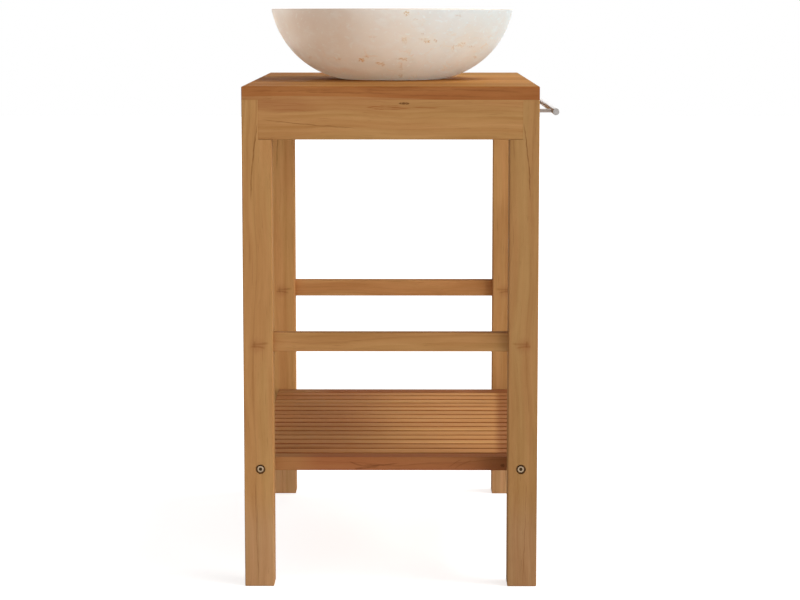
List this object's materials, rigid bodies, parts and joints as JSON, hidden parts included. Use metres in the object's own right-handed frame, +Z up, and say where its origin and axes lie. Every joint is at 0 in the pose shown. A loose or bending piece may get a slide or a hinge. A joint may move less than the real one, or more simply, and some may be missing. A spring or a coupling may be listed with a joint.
{
  "type": "vanity unit",
  "caption": "Free-standing wooden washstand with a round stone vessel basin, a slatted shelf, end stretchers and a front towel rail.",
  "frame": {"origin": "on the floor, under the middle of the whole outline, towel rail included", "axes": "+Z up, front with the towel rail towards -Y, +X to the right as seen from the front"},
  "size_m": [0.74, 0.4905, 0.886],
  "materials": {
    "top_wood": "oiled satin teak, redder on the edges",
    "leg_wood": "oiled satin teak",
    "rail_wood": "oiled satin teak",
    "slat_wood": "oiled satin teak",
    "shelf_end_wood": "oiled satin teak, reddish",
    "inner_wood": "plain sawn teak",
    "rail_steel": "satin stainless steel",
    "bolt_steel": "zinc plated, slightly dulled",
    "screw_steel": "zinc plated",
    "insert_brass": "plain brass",
    "marble": "honed cream marble with ochre veins"
  },
  "bodies": {
    "stand": {"top_board_1": "top_wood", "top_board_2": "top_wood", "top_board_3": "top_wood", "top_board_4": "top_wood", "top_board_5": "top_wood", "leg_front_left": "leg_wood", "leg_front_right": "leg_wood", "leg_back_left": "leg_wood", "leg_back_right": "leg_wood", "apron_front": "rail_wood", "apron_back": "rail_wood", "apron_left": "rail_wood", "apron_right": "rail_wood", "stretcher_left": "rail_wood", "stretcher_right": "rail_wood", "top_cleat_front": "inner_wood", "top_cleat_back": "inner_wood", "shelf_end_left": "shelf_end_wood", "shelf_end_right": "shelf_end_wood", "shelf_batten_front": "inner_wood", "shelf_batten_back": "inner_wood", "shelf_slat_01": "slat_wood", "shelf_slat_02": "slat_wood", "shelf_slat_03": "slat_wood", "shelf_slat_04": "slat_wood", "shelf_slat_05": "slat_wood", "shelf_slat_06": "slat_wood", "shelf_slat_07": "slat_wood", "shelf_slat_08": "slat_wood", "shelf_slat_09": "slat_wood", "shelf_slat_10": "slat_wood", "shelf_slat_11": "slat_wood", "shelf_slat_12": "slat_wood", "shelf_slat_13": "slat_wood", "shelf_slat_14": "slat_wood", "shelf_slat_15": "slat_wood", "top_screws": "screw_steel", "cleat_screws": "screw_steel", "slat_screws": "screw_steel", "rail_screws": "screw_steel", "shelf_bolts": "bolt_steel", "shelf_inserts": "insert_brass", "towel_bar": "rail_steel", "towel_post_left": "rail_steel", "towel_post_right": "rail_steel"},
    "basin": {"basin": "marble"}
  },
  "joints": [
    {"name": "basin_lift", "type": "slide", "parent": "stand", "child": "basin", "axis": [0, 0, 1], "range_m": [0, 0.25]}
  ]
}
